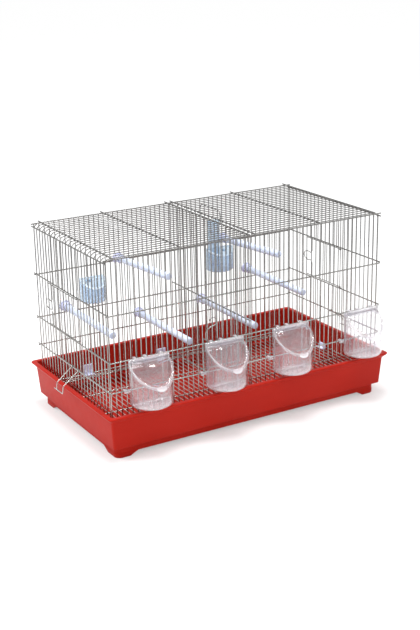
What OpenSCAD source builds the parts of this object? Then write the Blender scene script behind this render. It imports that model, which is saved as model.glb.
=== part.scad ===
// Canary breeding cage: two compartments of welded wire on a deep tray.
// Millimetres, +Z up, front of the cage towards -Y. The origin is on the
// floor, in the middle of the object's outline seen from above.

/* [Wire body] */
// Distance between the two outer wires of the front
wire_w = 560; // [480:20:640]
// Distance from the front wires to the back wires
wire_d = 293; // [260:1:330]
// Height of the roof wires above the floor
roof_z = 354; // [335:1:385]
// Distance from one front wire to the next
front_pitch = 10; // [10:1:10]
// Number of gaps between wires from front to back
side_gaps = 23; // [19:2:27]
// Diameter of the mesh wires
wire_dia = 2; // [1.6:0.1:2.2]
// Diameter of the cross rails
rail_dia = 2.5; // [2.2:0.1:2.8]
// Radius of the bend from roof to side
bend_r = 11; // [8:1:14]

/* [Rails] */
// Height of the upper rail
rail_1_z = 257; // [250:1:265]
// Height of the middle rail, which carries the feeders
rail_2_z = 174; // [170:1:180]
// Height of the lower rail, which carries the latches
rail_3_z = 120; // [115:1:125]
// How far the rails stand out past the corners
rail_overhang = 5; // [3:0.5:8]

/* [Tray] */
// Outer width of the rim
rim_w = 592; // [512:20:672]
// Outer depth of the rim
rim_d = 340; // [307:1:380]
// Height of the rim
rim_z = 83; // [75:1:95]
// Width of the flange round the rim
flange_w = 7; // [6:0.5:10]
// Slope of the walls, top to bottom
wall_lean = 4.5; // [2:0.5:8]
// Wall thickness of the moulding
tray_wall = 2; // [1.6:0.1:3]
// Height of the step where the base is set in
step_z = 21; // [18:1:24]
// How far the base is set in from the wall
step_in = 7; // [5:0.5:12]
// Height of the feet below the base
foot_z = 7.5; // [6:0.5:12]

/* [Floor grille] */
// Height of the ribs that carry the grille
grille_rest_z = 38; // [34:1:40]
// Distance from one grille wire to the next
grille_pitch = 10; // [8:1:14]

/* [Feeders] */
// Width of a feeder cup
feeder_w = 76; // [72:1:76]
// Depth of the straight part of a feeder cup
feeder_straight = 8; // [6:1:10]
// Underside of the feeders
feeder_z = 90; // [89:1:93]
// Height of the front lip of the feeders
feeder_lip_z = 132; // [129:1:137]
// Height of the back of the feeders
feeder_back_z = 172.5; // [172:0.5:173]
// Wall thickness of the clear mouldings
clear_wall = 1.8; // [1.4:0.1:2.2]

/* [Perches] */
// Outer diameter of the perch tubes
perch_dia = 13; // [10:0.5:13]
// Length of the perch tubes
perch_len = 200; // [180:5:210]

/* [Hidden] */

// Wires are drawn with eight flats, round parts with true circles
wire_sides = 8;
round_sides = 48;

// Wires and rails
wire_r = wire_dia / 2;
rail_r = rail_dia / 2;
weld_sink = 0.3;
rail_off = wire_r + rail_r - weld_sink;
panel_y = wire_d / 2;
side_x = wire_w / 2 + wire_r + 0.5;
side_inset = 3;
side_span = wire_d - 2 * side_inset;
side_pitch = side_span / side_gaps;
// Side rails pass just above the front and back rails at the corners
rail_lift = rail_dia + 0.3;
side_rail_x = side_x + rail_off;
rail_end_x = wire_w / 2 + rail_overhang;
rail_end_y = panel_y + rail_overhang;
top_rail_z = roof_z - 1.2;
panel_foot_z = grille_rest_z;
bottom_rail_z = panel_foot_z + 4;

// Roof
slot_rail_x = 6;
mid_rail_x = 143;
bend_x = side_x - bend_r;
edge_rail_x = bend_x - 1.5;
bend_z = roof_z - bend_r;
bend_steps = 4;
upper_rail_step = 3;

// Side doors, counted in side wires from the front
door_hinge_wire = 9;
door_edge_wire = 17;
door_low_z = rail_2_z + rail_lift + rail_r + 1.8;
door_high_z = rail_1_z + rail_lift - rail_r - 1.8;
running_gap = 0.06;

// Feeders: one hatch in the wires behind each
feeder_x = [-210, -60, 80, 240];
hatch_w = 60;
shutter_feeder = feeder_x[1];
feeder_y = -(panel_y + rail_off + rail_r + 0.5);
feeder_r = feeder_w / 2;
feeder_front_y = feeder_y - feeder_straight - feeder_r;
lid_slope = atan((feeder_back_z - feeder_lip_z) / (feeder_y - feeder_front_y));
lid_gap = 0.3;
lid_plate = 2;
lid_hinge_y = feeder_y - 4.8;
lid_hinge_z = feeder_back_z + 2;
lid_pin_r = 1.25;
lid_ear = 3;
lid_barrel_r = 2.2;
lid_skirt = 1.6;
lid_tab_reach = 3.5;

// Perches: place across the cage, height at the back wires, upward tilt in degrees
perch_at = [
    [-115, 263, 3.7], [-229, 188, 0], [-75, 146, 0],
    [66, 149, 0], [119.5, 266, 3.7], [175, 195, 0]
];
perch_r = perch_dia / 2;
clip_y = panel_y - wire_r - 0.3;
lug_w = 7.4;

// The middle of the outline from front to back lies on Y = 0
outline_front_y = feeder_front_y - lid_gap - lid_skirt - lid_tab_reach;
frame_shift = -(outline_front_y + rim_d / 2) / 2;

wire_grey = [0.62, 0.63, 0.64];
tray_red = [0.72, 0.16, 0.12];
clear_lilac = [0.88, 0.87, 0.94, 0.5];
perch_white = [0.86, 0.89, 0.97];
collar_violet = [0.72, 0.75, 0.92];
water_blue = [0.55, 0.70, 0.90, 0.7];

function side_wire_y(i) = -side_span / 2 + i * side_pitch;
function in_hatch(x) = len([for (c = feeder_x) if (abs(x - c) < hatch_w / 2) c]) > 0;
function on_circle(c, r, a) = c + r * [cos(a), sin(a)];
function arc(c, r, a0, a1, n) = [for (i = [0:n]) on_circle(c, r, a0 + (a1 - a0) * i / n)];
// The middle of the gap between two front or back wires that holds x
function wire_gap(x) = (floor(x / front_pitch) + 0.5) * front_pitch;

module in_frame() {
    translate([0, frame_shift, 0]) children();
}

// A straight wire from a to b
module wire(a, b, r = wire_r, sides = wire_sides) {
    v = b - a;
    translate(a)
        rotate([0, acos(v.z / norm(v)), atan2(v.y, v.x)])
            cylinder(h = norm(v), r = r, $fn = sides);
}

// A wire bent along a list of points, each piece run on a little to fill its bends
module bent_wire(points, r = wire_r) {
    run_on = 0.37 * r;
    for (i = [0:len(points) - 2]) {
        dir = (points[i + 1] - points[i]) / norm(points[i + 1] - points[i]);
        wire(points[i] - dir * run_on, points[i + 1] + dir * run_on, r);
    }
}

// A rectangle with true round corners
module rounded_rect(w, d, r) {
    square([w - 2 * r, d], center = true);
    square([w, d - 2 * r], center = true);
    for (x = [-1, 1], y = [-1, 1])
        translate([x * (w / 2 - r), y * (d / 2 - r)]) circle(r = r, $fn = round_sides);
}

/* ---- Tray ---- */
base_w = rim_w - 2 * (flange_w + wall_lean + step_in);
base_d = rim_d - 2 * (flange_w + wall_lean + step_in);
base_r = 12;

// A level slice of a moulding that is a rounded rectangle all the way up
module slice(w, d, r, z, h = 1) {
    translate([0, 0, z]) linear_extrude(h) rounded_rect(w, d, r);
}

// The walls with the flange round their top and the ledge at their foot
module tray_walls() {
    rim_r = 7;
    top_r = 6;
    low_r = 5;
    flange_edge = 2;
    flange_drop = 10;
    top_in = 2 * flange_w;
    low_in = top_in + 2 * wall_lean;
    both = 2 * tray_wall;
    difference() {
        union() {
            hull() {
                slice(rim_w - low_in, rim_d - low_in, low_r, step_z);
                slice(rim_w - top_in, rim_d - top_in, top_r, rim_z - flange_drop);
            }
            hull() {
                slice(rim_w - top_in, rim_d - top_in, top_r, rim_z - flange_drop);
                slice(rim_w, rim_d, rim_r, rim_z - flange_edge, flange_edge);
            }
        }
        hull() {
            slice(rim_w - low_in - both, rim_d - low_in - both, low_r - 1, step_z + tray_wall);
            slice(rim_w - top_in - both + 1, rim_d - top_in - both + 1, top_r - 1, rim_z);
        }
        slice(base_w - both, base_d - both, base_r - tray_wall, step_z - 1, 2 * tray_wall + 2);
    }
}

// Ribs inside the walls: the wire body and the grille stand on them
module tray_ribs() {
    rib_t = 2;
    rib_pitch = 60;
    side_rib_wires = [1, 6, 11, 17, 22];
    inner_x = 270;
    inner_y = 136;
    sink = 0.5;
    wall_x = rim_w / 2 - flange_w - wall_lean - 1;
    wall_y = rim_d / 2 - flange_w - wall_lean - 1;
    module rib(inner, base, wall) {
        floor_z = foot_z + tray_wall - sink;
        ledge_z = step_z + tray_wall - sink;
        translate([0, -rib_t / 2, 0]) {
            translate([inner, 0, floor_z]) cube([base - inner, rib_t, grille_rest_z - floor_z]);
            translate([base - sink, 0, ledge_z]) cube([wall - base + sink, rib_t, grille_rest_z - ledge_z]);
        }
    }
    for (s = [0, 1]) {
        for (i = [-4:4])
            mirror([0, s, 0]) translate([i * rib_pitch, 0, 0]) rotate([0, 0, 90])
                rib(inner_y, base_d / 2 - 1, wall_y);
        for (i = side_rib_wires)
            mirror([s, 0, 0]) translate([0, side_wire_y(i), 0]) rib(inner_x, base_w / 2 - 1, wall_x);
    }
}

// One corner foot, drawn for the front left and turned by mirror
module tray_foot(flip_x, flip_y) {
    foot_len_x = 27;
    foot_len_y = 34;
    slant = 15;
    foot_t = 9;
    top = foot_z + 1;
    mirror([flip_x, 0, 0]) mirror([0, flip_y, 0]) intersection() {
        linear_extrude(top) rounded_rect(base_w, base_d, base_r);
        union() {
            translate([0, -base_d / 2 + foot_t, 0]) rotate([90, 0, 0]) linear_extrude(foot_t)
                polygon([[-base_w / 2, 0], [-base_w / 2 + foot_len_x, 0],
                    [-base_w / 2 + foot_len_x + slant, top], [-base_w / 2, top]]);
            translate([-base_w / 2, 0, 0]) rotate([90, 0, 90]) linear_extrude(foot_t)
                polygon([[-base_d / 2, 0], [-base_d / 2 + foot_len_y, 0],
                    [-base_d / 2 + foot_len_y + slant, top], [-base_d / 2, top]]);
        }
    }
}

module tray() {
    color(tray_red) union() {
        tray_walls();
        difference() {
            slice(base_w, base_d, base_r, foot_z, step_z - foot_z + 1);
            slice(base_w - 2 * tray_wall, base_d - 2 * tray_wall, base_r - tray_wall,
                foot_z + tray_wall, step_z);
        }
        for (fx = [0, 1], fy = [0, 1]) tray_foot(fx, fy);
        tray_ribs();
    }
}

/* ---- Floor grille ---- */
grille_rail_z = grille_rest_z + rail_r + 0.1;
grille_wire_z = grille_rail_z + rail_off;
grille_half_w = wire_w / 2 - 4;
grille_half_d = panel_y - 5.5;

module floor_grille() {
    count = floor((grille_half_w - 5) / grille_pitch);
    rail_rows = [-grille_half_d + 3, -46, 46, grille_half_d - 10, grille_half_d - 3];
    color(wire_grey) union() {
        for (i = [-count:count])
            wire([i * grille_pitch, -grille_half_d, grille_wire_z],
                [i * grille_pitch, grille_half_d, grille_wire_z]);
        for (y = rail_rows)
            wire([-grille_half_w, y, grille_rail_z], [grille_half_w, y, grille_rail_z], rail_r);
    }
}

// Plastic saddles on the edge of the grille, two of them with a plate to pull it up by
module grille_clips() {
    clip_w = 20;
    plate_t = 3;
    saddle_l = 10;
    saddle_t = 2.5;
    leg_t = 2;
    leg_h = 7;
    clip_base = grille_wire_z + wire_r + 0.1;
    module clip(plate_h) {
        translate([-clip_w / 2, -plate_t, clip_base]) cube([clip_w, plate_t, plate_h]);
        translate([-clip_w / 2, -saddle_l, clip_base]) cube([clip_w, saddle_l, saddle_t]);
        for (x = [-clip_w / 2 + 3, clip_w / 2 - 3 - leg_t])
            translate([x, -2 * plate_t, clip_base + saddle_t - 0.5]) cube([leg_t, plate_t + 1, leg_h]);
    }
    color(collar_violet) {
        for (x = [-191, -31]) translate([x, grille_half_d - 0.5, 0]) clip(21);
        translate([grille_half_w - 2, 12, 0]) rotate([0, 0, -90]) clip(10);
    }
}

/* ---- Wire walls ---- */
module front_panel() {
    color(wire_grey) union() {
        for (x = [-wire_w / 2:front_pitch:wire_w / 2]) {
            if (in_hatch(x)) {
                wire([x, -panel_y, panel_foot_z], [x, -panel_y, rail_3_z + rail_r]);
                wire([x, -panel_y, rail_2_z - rail_r], [x, -panel_y, top_rail_z + 0.6]);
            } else {
                guide = abs(abs(x - shutter_feeder) - hatch_w / 2) < 1;
                sides = guide ? round_sides : wire_sides;
                wire([x, -panel_y, panel_foot_z], [x, -panel_y, top_rail_z + 0.6], wire_r, sides);
            }
        }
        for (z = [top_rail_z, rail_1_z, rail_2_z, rail_3_z])
            wire([-rail_end_x, -panel_y - rail_off, z], [rail_end_x, -panel_y - rail_off, z], rail_r);
        wire([-wire_w / 2, -panel_y + rail_off, bottom_rail_z],
            [wire_w / 2, -panel_y + rail_off, bottom_rail_z], rail_r);
    }
}

module back_panel() {
    color(wire_grey) union() {
        for (x = [-wire_w / 2:front_pitch:wire_w / 2])
            wire([x, panel_y, panel_foot_z], [x, panel_y, top_rail_z + 0.6]);
        for (z = [top_rail_z, rail_1_z, rail_2_z, rail_3_z])
            wire([-rail_end_x, panel_y + rail_off, z], [rail_end_x, panel_y + rail_off, z], rail_r);
        wire([-wire_w / 2, panel_y - rail_off, bottom_rail_z],
            [wire_w / 2, panel_y - rail_off, bottom_rail_z], rail_r);
    }
}

// The right wall; the left one is its mirror image
module side_panel() {
    low = rail_2_z + rail_lift;
    high = rail_1_z + rail_lift;
    union() {
        for (i = [0:side_gaps]) {
            y = side_wire_y(i);
            if (i > door_hinge_wire && i <= door_edge_wire) {
                wire([side_x, y, panel_foot_z], [side_x, y, low + rail_r]);
                wire([side_x, y, high - rail_r], [side_x, y, bend_z]);
            } else {
                sides = i == door_hinge_wire ? round_sides : wire_sides;
                wire([side_x, y, panel_foot_z], [side_x, y, bend_z], wire_r, sides);
            }
        }
        for (z = [high, low])
            wire([side_rail_x, -rail_end_y, z], [side_rail_x, rail_end_y, z], rail_r);
        // The latch turns on the lower rail
        wire([side_rail_x, -rail_end_y, rail_3_z + rail_lift],
            [side_rail_x, rail_end_y, rail_3_z + rail_lift], rail_r, round_sides);
        wire([side_x - rail_off, -side_span / 2, bottom_rail_z],
            [side_x - rail_off, side_span / 2, bottom_rail_z], rail_r);
    }
}

module right_panel() {
    color(wire_grey) side_panel();
}

module left_panel() {
    color(wire_grey) mirror([1, 0, 0]) side_panel();
}

// Right half of the roof, with the bends that carry on into the side wires
module roof_half() {
    upper_rail_r = bend_r + rail_off;
    upper_rail_angle = 90 * upper_rail_step / bend_steps;
    upper_rail_x = bend_x + upper_rail_r * sin(upper_rail_angle);
    upper_rail_z = bend_z + upper_rail_r * cos(upper_rail_angle);
    union() {
        for (i = [0:side_gaps]) {
            y = side_wire_y(i);
            wire([slot_rail_x - 1, y, roof_z], [bend_x, y, roof_z]);
            for (k = [0:bend_steps - 1]) {
                a = 90 * k / bend_steps;
                b = 90 * (k + 1) / bend_steps;
                wire([bend_x + bend_r * sin(a), y, bend_z + bend_r * cos(a)],
                    [bend_x + bend_r * sin(b), y, bend_z + bend_r * cos(b)]);
            }
        }
        for (x = [slot_rail_x, mid_rail_x, edge_rail_x])
            wire([x, -rail_end_y, roof_z + rail_off], [x, rail_end_y, roof_z + rail_off], rail_r);
        wire([upper_rail_x, -rail_end_y, upper_rail_z], [upper_rail_x, rail_end_y, upper_rail_z], rail_r);
    }
}

module roof_right() {
    color(wire_grey) roof_half();
}

module roof_left() {
    color(wire_grey) mirror([1, 0, 0]) roof_half();
}

/* ---- Divider ---- */
module divider() {
    foot = grille_wire_z + wire_r + 1;
    half = panel_y - 4.5;
    gaps = side_gaps - 1;
    pitch = 2 * (half - wire_r) / gaps;
    grip_y = -7.5;
    grip_half = 36;
    grip_h = 21;
    grip_round = 12;
    middle_rail_z = 195;
    top = roof_z + 0.5;
    color(wire_grey) union() {
        for (i = [0:gaps]) {
            y = -half + wire_r + i * pitch;
            wire([0, y, foot], [0, y, top]);
        }
        for (z = [foot + 2, middle_rail_z, top - 2])
            wire([rail_off, -half, z], [rail_off, half, z], rail_r);
        bent_wire([for (p = concat([[grip_y - grip_half, top - 4]],
            arc([grip_y - grip_half + grip_round, top + grip_h - grip_round], grip_round, 180, 90, 4),
            arc([grip_y + grip_half - grip_round, top + grip_h - grip_round], grip_round, 90, 0, 4),
            [[grip_y + grip_half, top - 4]])) [rail_off, p.x, p.y]], wire_r);
    }
}

/* ---- Side doors ---- */
// The free edge bulges out in an open oval for a fingertip
pull_reach = 28;
pull_half_h = 9;
pull_sweep = 125;
pull_steps = 7;
function pull_point(y, z, a) = [y + pull_reach / 2 * (1 + cos(a)), z + pull_half_h * sin(a)];
function finger_pull(y, z) = concat(
    [[y, z + pull_half_h + 3]],
    [for (i = [0:pull_steps]) pull_point(y, z, pull_sweep * (1 - 2 * i / pull_steps))],
    [[y, z - pull_half_h - 3]]
);

// Right door: a wire leaf outside its opening, with eyes round the hinge wire
module side_door() {
    hinge_y = side_wire_y(door_hinge_wire);
    edge_y = side_wire_y(door_edge_wire);
    leaf_rail_x = side_x + 2.5;
    leaf_x = leaf_rail_x + 1.7;
    eye_h = 3;
    eye_r = wire_r + 1.7;
    tip = 1.2;
    stop_reach = 16;
    edge_path = concat([[edge_y, door_high_z + tip]],
        finger_pull(edge_y, (door_low_z + door_high_z) / 2),
        [[edge_y, door_low_z - tip]]);
    difference() {
        union() {
            for (z = [door_low_z, door_high_z]) {
                wire([leaf_rail_x, hinge_y, z], [leaf_rail_x, edge_y + stop_reach, z]);
                translate([side_x, hinge_y, z - eye_h / 2])
                    cylinder(h = eye_h, r = eye_r, $fn = round_sides);
            }
            for (i = [door_hinge_wire + 1:door_edge_wire - 1])
                wire([leaf_x, side_wire_y(i), door_low_z - tip],
                    [leaf_x, side_wire_y(i), door_high_z + tip]);
            bent_wire([for (p = edge_path) [leaf_x, p.x, p.y]]);
        }
        for (z = [door_low_z, door_high_z])
            translate([side_x, hinge_y, z - eye_h])
                cylinder(h = 2 * eye_h, r = wire_r + running_gap, $fn = round_sides);
    }
}

module side_door_right() {
    color(wire_grey) side_door();
}

module side_door_left() {
    color(wire_grey) mirror([1, 0, 0]) side_door();
}

/* ---- Shutter behind the second feeder ---- */
// Its left edge wire runs up outside and ends in a hook to pull it by
module feeder_shutter() {
    guide_x = hatch_w / 2;
    edge_x = guide_x + 6;
    guide_h = 3;
    guide_r = wire_r + 1.2;
    frame_y = -panel_y + 2.6;
    comb_y = frame_y + 1.7;
    low_z = rail_3_z + 6;
    high_z = rail_2_z - 6;
    tip = 1.2;
    hook_y = -panel_y - 4.7;
    hook_z = rail_2_z + 7;
    hook_r = 7.5;
    hook_at = [-edge_x + 15, rail_2_z + 38];
    hook_path = concat([[-edge_x, hook_z], [-edge_x, hook_z + 14], [-edge_x + 2.5, hook_z + 18],
        [-edge_x + 8, hook_z + 21.5]], arc(hook_at, hook_r, -85, 160, 8));
    color(wire_grey) translate([shutter_feeder, 0, 0]) {
        difference() {
            union() {
                for (z = [low_z, high_z]) {
                    wire([-edge_x - tip, frame_y, z], [edge_x + tip, frame_y, z]);
                    for (x = [-guide_x, guide_x])
                        translate([x, -panel_y, z - guide_h / 2])
                            cylinder(h = guide_h, r = guide_r, $fn = round_sides);
                }
                for (x = [-20, -10, 0, 10, 20, edge_x])
                    wire([x, comb_y, low_z - tip], [x, comb_y, high_z + tip]);
                bent_wire([[-edge_x, comb_y, low_z - tip], [-edge_x, comb_y, hook_z],
                    [-edge_x, hook_y, hook_z]]);
                bent_wire([for (p = hook_path) [p.x, hook_y, p.y]]);
            }
            for (x = [-guide_x, guide_x]) {
                translate([x, -panel_y, low_z - guide_h])
                    cylinder(h = high_z - low_z + 2 * guide_h, r = wire_r + running_gap, $fn = round_sides);
                translate([x - guide_r - 1, -panel_y - guide_r - 1, low_z - guide_h])
                    cube([2 * guide_r + 2, guide_r + 0.6, high_z - low_z + 2 * guide_h]);
            }
        }
    }
}

/* ---- Bail latches ---- */
// Wire bail on the lower side rail, hanging clear of the flange it hooks under
module bail() {
    middle_y = -12;
    half_w = 13;
    eye_h = 3;
    eye_r = rail_r + 1.4;
    rail_z = rail_3_z + rail_lift;
    tail = 10;
    arm = [[side_rail_x + 1.8, rail_z - 1.2], [side_rail_x + 31, rail_z - 23],
        [side_rail_x + 32.5, rail_z - 36.5]];
    foot = arm[len(arm) - 1];
    translate([0, middle_y, 0]) difference() {
        union() {
            for (y = [-half_w, half_w]) {
                translate([side_rail_x, y + eye_h / 2, rail_z]) rotate([90, 0, 0])
                    cylinder(h = eye_h, r = eye_r, $fn = round_sides);
                bent_wire([for (p = arm) [p.x, y, p.y]]);
            }
            wire([foot.x, -half_w - wire_r, foot.y], [foot.x, half_w + tail, foot.y]);
        }
        translate([side_rail_x, half_w + eye_h, rail_z]) rotate([90, 0, 0])
            cylinder(h = 2 * (half_w + eye_h), r = rail_r + running_gap, $fn = round_sides);
    }
}

module bail_right() {
    color(wire_grey) bail();
}

module bail_left() {
    color(wire_grey) mirror([1, 0, 0]) bail();
}

/* ---- D-shaped cups ---- */
// Cups have their back at y = 0, their floor at z = 0 and bulge towards -Y
module d_profile(r, h, wall) {
    f = 6;
    polygon(concat([[0, 0]], arc([r - f, f], f, -90, 0, 4), [[r, h], [r - wall, h]],
        arc([r - f, f], f - wall, 0, -90, 4), [[0, wall]]));
}

module d_outline(r, straight, back = 0) {
    intersection() {
        union() {
            translate([-r, -straight]) square([2 * r, straight]);
            translate([0, -straight]) circle(r = r, $fn = 2 * round_sides);
        }
        translate([-r - 1, -straight - r - 1]) square([2 * r + 2, straight + r + 1 - back]);
    }
}

module above_slope(r, straight, lip, back, lift = 0) {
    translate([0, 0, back]) rotate([atan((back - lip) / (straight + r)), 0, 0])
        translate([-2 * r, -4 * r, lift]) cube([4 * r, 6 * r, 3 * r]);
}

// Round-bottomed cup with sloping sides; back_h is the height of its back wall
module d_cup(r, straight, lip, top, back_h, wall = clear_wall) {
    difference() {
        union() {
            translate([0, -straight, 0]) rotate([0, 0, 180])
                rotate_extrude(angle = 180, $fn = 2 * round_sides) d_profile(r, top, wall);
            rotate([90, 0, 0]) linear_extrude(straight) {
                d_profile(r, top, wall);
                mirror([1, 0]) d_profile(r, top, wall);
            }
            rotate([90, 0, 0]) linear_extrude(wall) {
                translate([-r + 6, 0]) square([2 * r - 12, back_h]);
                translate([-r + wall / 2, 6]) square([2 * r - wall, back_h - 6]);
                for (s = [-1, 1])
                    translate([s * (r - 6), 6]) circle(r = 5.9, $fn = round_sides);
            }
        }
        above_slope(r, straight, lip, top);
    }
}

// Lug that passes between two wires of the back wall and a bar that grips behind them
module wire_lug(x, z, h = 5) {
    bar_w = 14;
    bar_t = 1.6;
    behind = panel_y + wire_r + 0.3 - clip_y;
    translate([wire_gap(x), clip_y, z - h / 2]) {
        translate([-lug_w / 2, -0.5, 0]) cube([lug_w, behind + bar_t + 0.5, h]);
        translate([-bar_w / 2, behind, 0]) cube([bar_w, bar_t, h]);
    }
}

/* ---- Feeders ---- */
cup_top = feeder_back_z - feeder_z;
cup_lip = feeder_lip_z - feeder_z;
hinge_y = lid_hinge_y - feeder_y;
hinge_z = lid_hinge_z - feeder_z;

module feeder_cup(x) {
    ridge = 1.2;
    ridge_z = rail_3_z - feeder_z;
    bar_t = 2.2;
    bar_h = 5.8;
    // The hooks reach over the rails and down behind them, between two wires
    over_rail = rail_r + 0.35;
    behind_rail = -panel_y - rail_off + rail_r + 0.3 - feeder_y;
    leg_t = 1.6;
    hook_t = 1.8;
    top_hook_w = 5;
    top_hook_z = rail_2_z + over_rail - feeder_z;
    side_hook_w = 5;
    side_hook_x = -4.5 * front_pitch;
    ear_r = 2.3;
    color(clear_lilac) translate([x, feeder_y, feeder_z]) difference() {
        union() {
            d_cup(feeder_r, feeder_straight, cup_lip, cup_top, ridge_z);
            // Ridge round the front at the height of the lower rail, and the rib below it
            translate([0, 0, ridge_z - 1]) linear_extrude(2) difference() {
                d_outline(feeder_r + ridge, feeder_straight);
                d_outline(feeder_r - 0.5, feeder_straight + 0.1);
            }
            translate([-ridge, -feeder_straight - feeder_r - ridge, 6])
                cube([2 * ridge, 2 * ridge, ridge_z - 6]);
            // Bar across the open back, with three hooks over the middle rail
            translate([-feeder_r + 1, -bar_t, cup_top - bar_t - bar_h])
                cube([2 * feeder_r - 2, bar_t, bar_h]);
            for (s = [-25, -5, 25]) translate([s - top_hook_w / 2, 0, 0]) {
                translate([0, -1.3, cup_top - 4])
                    cube([top_hook_w, 1.3, top_hook_z + hook_t - cup_top + 4]);
                translate([0, -1.3, top_hook_z]) cube([top_hook_w, behind_rail + leg_t + 1.3, hook_t]);
                translate([0, behind_rail, top_hook_z - 5]) cube([top_hook_w, leg_t, 5.5]);
            }
            // Hook over the lower rail on the left
            translate([side_hook_x - side_hook_w / 2, 0, ridge_z]) {
                translate([0, -3, -3])
                    cube([side_hook_w / 2 - side_hook_x - feeder_r + 1, 3, 6]);
                translate([0, -3, over_rail]) cube([side_hook_w, 3 + behind_rail + leg_t, hook_t]);
                translate([0, behind_rail, -2]) cube([side_hook_w, leg_t, 5]);
            }
            for (s = [-1, 1]) {
                ear_x = s * (feeder_r - lid_ear / 2);
                translate([ear_x - lid_ear / 2, hinge_y - ear_r, cup_top - 12])
                    cube([lid_ear, ear_r - hinge_y, hinge_z - cup_top + 12]);
                translate([ear_x, hinge_y, hinge_z]) rotate([0, 90, 0])
                    cylinder(h = lid_ear, r = ear_r, center = true, $fn = round_sides);
            }
        }
        translate([-feeder_r - 1, hinge_y, hinge_z]) rotate([0, 90, 0])
            cylinder(h = 2 * feeder_r + 2, r = lid_pin_r + running_gap, $fn = round_sides);
    }
}

// The lid lies on the slope of the cup; its skirt hangs over the lip
module feeder_lid(x) {
    outer_r = feeder_r + lid_gap + lid_skirt;
    skirt_drop = 4;
    tab_r = 14;
    barrel_len = 2 * (feeder_r - lid_ear) - 0.6;
    back_cut = 2;
    web_t = 1.5;
    plate_z = cup_top + hinge_y * tan(lid_slope);
    ear_room = 3.6;
    module slab(low, high) {
        translate([0, 0, cup_top]) rotate([lid_slope, 0, 0])
            translate([-2 * feeder_r, -3 * feeder_r, low]) cube([4 * feeder_r, 4 * feeder_r, high - low]);
    }
    color(clear_lilac) translate([x, feeder_y, feeder_z]) difference() {
        union() {
            intersection() {
                linear_extrude(2 * cup_top) {
                    d_outline(outer_r, feeder_straight, back_cut);
                    translate([0, -feeder_straight - outer_r - lid_tab_reach + tab_r])
                        circle(r = tab_r, $fn = round_sides);
                }
                slab(lid_gap, lid_gap + lid_plate);
            }
            intersection() {
                linear_extrude(2 * cup_top) difference() {
                    d_outline(outer_r, feeder_straight, back_cut);
                    d_outline(feeder_r + lid_gap, feeder_straight);
                }
                slab(-skirt_drop, lid_gap + 1);
            }
            translate([-barrel_len / 2, hinge_y, hinge_z]) rotate([0, 90, 0])
                cylinder(h = barrel_len, r = lid_barrel_r, $fn = round_sides);
            translate([-barrel_len / 2, hinge_y - web_t / 2, plate_z + 1])
                cube([barrel_len, web_t, hinge_z - plate_z - 2]);
        }
        // Corners cut back round the ears
        for (s = [-1, 1])
            translate([s * (feeder_r + 1) - lid_ear - 1.6, hinge_y - ear_room, cup_top - 20])
                cube([2 * lid_ear + 3.2, ear_room - hinge_y + 1, 22]);
    }
    color(clear_lilac) translate([x, feeder_y + hinge_y, feeder_z + hinge_z]) rotate([0, 90, 0])
        cylinder(h = 2 * feeder_r - 0.8, r = lid_pin_r, center = true, $fn = round_sides);
}

/* ---- Perches ---- */
plate_t = 3;
seat_z = plate_t + 0.2;

// Carries a piece drawn upwards to the back wires, along the perch
module along_perch(at) {
    translate([at.x, clip_y, at.y]) rotate([90 - at.z, 0, 0]) children();
}

module perch_tube(at) {
    bore_r = perch_r - 1.4;
    end_t = 3;
    color(perch_white) along_perch(at) translate([0, 0, seat_z + 0.5]) difference() {
        cylinder(h = perch_len, r = perch_r, $fn = round_sides);
        translate([0, 0, -1]) cylinder(h = perch_len - end_t + 1, r = bore_r, $fn = round_sides);
    }
}

// Socket that takes the tube, on a crescent plate held by the back wires
module perch_collar(at) {
    plate_r = 11;
    notch_r = 10;
    notch_drop = 16;
    socket_r = perch_r + 2;
    socket_len = 13;
    color(collar_violet) {
        translate([at.x, clip_y, at.y]) rotate([90, 0, 0]) linear_extrude(plate_t) difference() {
            circle(r = plate_r, $fn = round_sides);
            translate([0, -notch_drop]) circle(r = notch_r, $fn = round_sides);
        }
        along_perch(at) difference() {
            translate([0, 0, plate_t - 0.9]) cylinder(h = socket_len, r = socket_r, $fn = round_sides);
            translate([0, 0, seat_z]) cylinder(h = socket_len, r = perch_r + 0.15, $fn = round_sides);
        }
        wire_lug(at.x, at.y);
    }
}

/* ---- Hopper and cup on the back wires ---- */
hopper_z = 204;
hopper_x = 109;

module hopper_trough() {
    color(water_blue) {
        translate([hopper_x, clip_y, hopper_z]) d_cup(29, 4, 36, 50, 46);
        wire_lug(hopper_x + 15, hopper_z + 36);
    }
}

// Closed at the top; its open mouth stands in the trough
module hopper_tank() {
    tank_x = 95;
    tank_top = 309;
    tank_h = tank_top - hopper_z - 8;
    lug_z = 282;
    wall_gap = 2.2;
    color(water_blue) {
        translate([tank_x, clip_y - wall_gap, tank_top]) mirror([0, 0, 1])
            d_cup(12, 6, tank_h - 0.1, tank_h, tank_h - 8);
        wire_lug(tank_x, lug_z);
        translate([tank_x - lug_w / 2, clip_y - wall_gap - 0.3, lug_z - 2.5])
            cube([lug_w, wall_gap + 0.3, 5]);
    }
}

module bath_cup() {
    bath_at = [-173, 189];
    color(water_blue) {
        translate([bath_at.x, clip_y, bath_at.y]) d_cup(24.5, 9, 32, 51, 46);
        wire_lug(bath_at.x, bath_at.y + 38);
    }
}

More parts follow.
